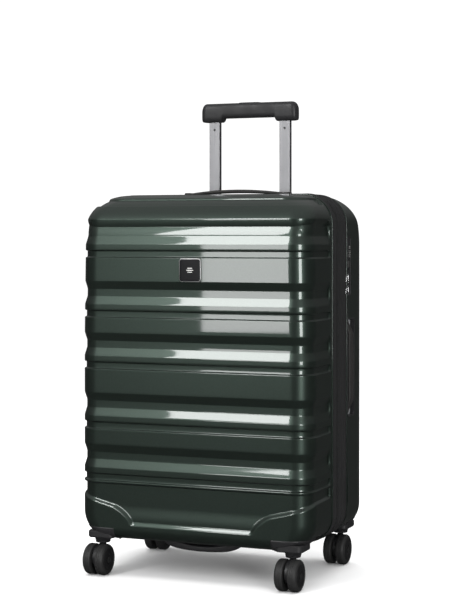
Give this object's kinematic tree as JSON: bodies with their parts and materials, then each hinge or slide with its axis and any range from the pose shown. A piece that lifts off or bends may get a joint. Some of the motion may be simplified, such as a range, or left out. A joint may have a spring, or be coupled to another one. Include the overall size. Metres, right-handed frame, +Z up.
{
  "type": "hard shell suitcase on wheels",
  "caption": "Upright hard shell suitcase with ribbed shells joined by a zipped band, telescopic handle, carry handles, combination lock and twin-wheel swivel casters.",
  "frame": {"origin": "on the floor, under the middle of the space the standing case takes, casters included", "axes": "+X to the right seen from the front, -Y out of the front face, +Z up"},
  "size_m": [0.45, 0.325, 0.8639],
  "materials": {
    "shell_green": "gloss",
    "band_fabric": "woven",
    "zip_tape": "woven",
    "badge": "polished",
    "black_plastic": "fine texture",
    "soft_grip": "matte",
    "lining": "woven",
    "chrome_metal": "polished",
    "dial_metal": "satin",
    "tube_aluminium": "brushed",
    "steel": "satin",
    "grip_plastic": "satin",
    "wheel_rubber": "matte"
  },
  "bodies": {
    "rear_case": {"rear_shell": "shell_green", "main_zip_rear": "zip_tape", "hinge_tape": "band_fabric", "rear_lining": "lining", "cross_straps": "band_fabric", "strap_buckle": "black_plastic", "lock_case": "black_plastic", "side_handle_cup": "black_plastic", "carry_handle_mounts": "black_plastic", "trolley_bezel": "black_plastic", "trolley_foot": "black_plastic", "outer_tubes": "tube_aluminium", "plate_rear_left": "black_plastic", "plate_rear_right": "black_plastic", "housing_screws_rear": "steel"},
    "front_case": {"front_shell": "shell_green", "gusset_band": "band_fabric", "expansion_zip": "zip_tape", "main_zip_front": "zip_tape", "badge_plate": "badge", "bottom_grip": "black_plastic", "front_lining": "lining", "plate_front_left": "black_plastic", "plate_front_right": "black_plastic", "housing_screws_front": "steel"},
    "zip_slider_upper": {"zip_slider_upper": "chrome_metal"},
    "zip_slider_lower": {"zip_slider_lower": "chrome_metal"},
    "zip_tab_upper": {"zip_tab_upper": "chrome_metal"},
    "zip_tab_lower": {"zip_tab_lower": "chrome_metal"},
    "lock_dial_1": {"lock_dial_1": "dial_metal"},
    "lock_dial_2": {"lock_dial_2": "dial_metal"},
    "lock_dial_3": {"lock_dial_3": "dial_metal"},
    "lock_button": {"lock_button": "dial_metal"},
    "lock_cylinder": {"lock_cylinder": "dial_metal"},
    "side_handle": {"side_handle": "soft_grip"},
    "carry_handle": {"carry_handle": "soft_grip"},
    "trolley_middle": {"middle_tubes": "tube_aluminium", "middle_tube_collars": "black_plastic"},
    "trolley_inner": {"inner_tubes": "tube_aluminium", "push_rods": "steel", "grip_front": "grip_plastic", "grip_rear": "grip_plastic", "grip_spring": "steel"},
    "grip_button": {"grip_button": "grip_plastic"},
    "caster_front_left": {"fork_front_left": "black_plastic", "axle_front_left": "steel"},
    "wheel_front_left_a": {"wheel_front_left_a": "wheel_rubber"},
    "wheel_front_left_b": {"wheel_front_left_b": "wheel_rubber"},
    "caster_front_right": {"fork_front_right": "black_plastic", "axle_front_right": "steel"},
    "wheel_front_right_a": {"wheel_front_right_a": "wheel_rubber"},
    "wheel_front_right_b": {"wheel_front_right_b": "wheel_rubber"},
    "caster_rear_left": {"fork_rear_left": "black_plastic", "axle_rear_left": "steel"},
    "wheel_rear_left_a": {"wheel_rear_left_a": "wheel_rubber"},
    "wheel_rear_left_b": {"wheel_rear_left_b": "wheel_rubber"},
    "caster_rear_right": {"fork_rear_right": "black_plastic", "axle_rear_right": "steel"},
    "wheel_rear_right_a": {"wheel_rear_right_a": "wheel_rubber"},
    "wheel_rear_right_b": {"wheel_rear_right_b": "wheel_rubber"}
  },
  "joints": [
    {"name": "lid_hinge", "type": "hinge", "parent": "rear_case", "child": "front_case", "pos_m": [-0.226, 0.0505, 0.374], "axis": [0, 0, -1], "range_deg": [0, 180]},
    {"name": "trolley_middle_slide", "type": "slide", "parent": "rear_case", "child": "trolley_middle", "axis": [0, 0, 1], "range_m": [0, 0.19]},
    {"name": "trolley_inner_slide", "type": "slide", "parent": "trolley_middle", "child": "trolley_inner", "axis": [0, 0, 1], "range_m": [-0.19, 0]},
    {"name": "grip_button_press", "type": "slide", "parent": "trolley_inner", "child": "grip_button", "axis": [0, 0, -1], "range_m": [0, 0.004], "stiffness_N_per_m": 700, "springref_m": -0.002, "deforming": ["grip_spring"]},
    {"name": "carry_handle_lift", "type": "slide", "parent": "rear_case", "child": "carry_handle", "axis": [0, 0, 1], "range_m": [0, 0.018], "stiffness_N_per_m": 300, "springref_m": -0.004},
    {"name": "side_handle_pull", "type": "slide", "parent": "rear_case", "child": "side_handle", "axis": [1, 0, 0], "range_m": [0, 0.009], "stiffness_N_per_m": 300, "springref_m": -0.004},
    {"name": "lock_button_slide", "type": "slide", "parent": "rear_case", "child": "lock_button", "axis": [0, 0, -1], "range_m": [0, 0.004], "stiffness_N_per_m": 400, "springref_m": -0.002},
    {"name": "lock_cylinder_turn", "type": "hinge", "parent": "rear_case", "child": "lock_cylinder", "pos_m": [0.218, 0.0675, 0.508], "axis": [1, 0, 0], "range_deg": [0, 90]},
    {"name": "zip_slider_upper_run", "type": "slide", "parent": "rear_case", "child": "zip_slider_upper", "axis": [0, 0, 1], "range_m": [0, 0.08]},
    {"name": "zip_slider_lower_run", "type": "slide", "parent": "rear_case", "child": "zip_slider_lower", "axis": [0, 0, -1], "range_m": [0, 0.31]},
    {"name": "zip_tab_upper_swing", "type": "hinge", "parent": "zip_slider_upper", "child": "zip_tab_upper", "pos_m": [0.2233, 0.0549, 0.53], "axis": [0, 0, -1], "range_deg": [0, 90]},
    {"name": "zip_tab_lower_swing", "type": "hinge", "parent": "zip_slider_lower", "child": "zip_tab_lower", "pos_m": [0.2233, 0.0549, 0.509], "axis": [0, 0, -1], "range_deg": [0, 90]},
    {"name": "lock_dial_1_turn", "type": "hinge", "parent": "rear_case", "child": "lock_dial_1", "pos_m": [0.2186, 0.0725, 0.5873], "axis": [0, 0, 1], "continuous": true},
    {"name": "lock_dial_2_turn", "type": "hinge", "parent": "rear_case", "child": "lock_dial_2", "pos_m": [0.2186, 0.0725, 0.5795], "axis": [0, 0, 1], "continuous": true},
    {"name": "lock_dial_3_turn", "type": "hinge", "parent": "rear_case", "child": "lock_dial_3", "pos_m": [0.2186, 0.0725, 0.5717], "axis": [0, 0, 1], "continuous": true},
    {"name": "swivel_front_left", "type": "hinge", "parent": "front_case", "child": "caster_front_left", "pos_m": [-0.183, -0.117, 0.06], "axis": [0, 0, 1], "continuous": true},
    {"name": "spin_front_left_a", "type": "hinge", "parent": "caster_front_left", "child": "wheel_front_left_a", "pos_m": [-0.196, -0.135, 0.0275], "axis": [1, 0, 0], "continuous": true},
    {"name": "spin_front_left_b", "type": "hinge", "parent": "caster_front_left", "child": "wheel_front_left_b", "pos_m": [-0.17, -0.135, 0.0275], "axis": [1, 0, 0], "continuous": true},
    {"name": "swivel_front_right", "type": "hinge", "parent": "front_case", "child": "caster_front_right", "pos_m": [0.183, -0.117, 0.06], "axis": [0, 0, 1], "continuous": true},
    {"name": "spin_front_right_a", "type": "hinge", "parent": "caster_front_right", "child": "wheel_front_right_a", "pos_m": [0.17, -0.135, 0.0275], "axis": [1, 0, 0], "continuous": true},
    {"name": "spin_front_right_b", "type": "hinge", "parent": "caster_front_right", "child": "wheel_front_right_b", "pos_m": [0.196, -0.135, 0.0275], "axis": [1, 0, 0], "continuous": true},
    {"name": "swivel_rear_left", "type": "hinge", "parent": "rear_case", "child": "caster_rear_left", "pos_m": [-0.183, 0.138, 0.06], "axis": [0, 0, 1], "continuous": true},
    {"name": "spin_rear_left_a", "type": "hinge", "parent": "caster_rear_left", "child": "wheel_rear_left_a", "pos_m": [-0.196, 0.12, 0.0275], "axis": [1, 0, 0], "continuous": true},
    {"name": "spin_rear_left_b", "type": "hinge", "parent": "caster_rear_left", "child": "wheel_rear_left_b", "pos_m": [-0.17, 0.12, 0.0275], "axis": [1, 0, 0], "continuous": true},
    {"name": "swivel_rear_right", "type": "hinge", "parent": "rear_case", "child": "caster_rear_right", "pos_m": [0.183, 0.138, 0.06], "axis": [0, 0, 1], "continuous": true},
    {"name": "spin_rear_right_a", "type": "hinge", "parent": "caster_rear_right", "child": "wheel_rear_right_a", "pos_m": [0.17, 0.12, 0.0275], "axis": [1, 0, 0], "continuous": true},
    {"name": "spin_rear_right_b", "type": "hinge", "parent": "caster_rear_right", "child": "wheel_rear_right_b", "pos_m": [0.196, 0.12, 0.0275], "axis": [1, 0, 0], "continuous": true}
  ]
}
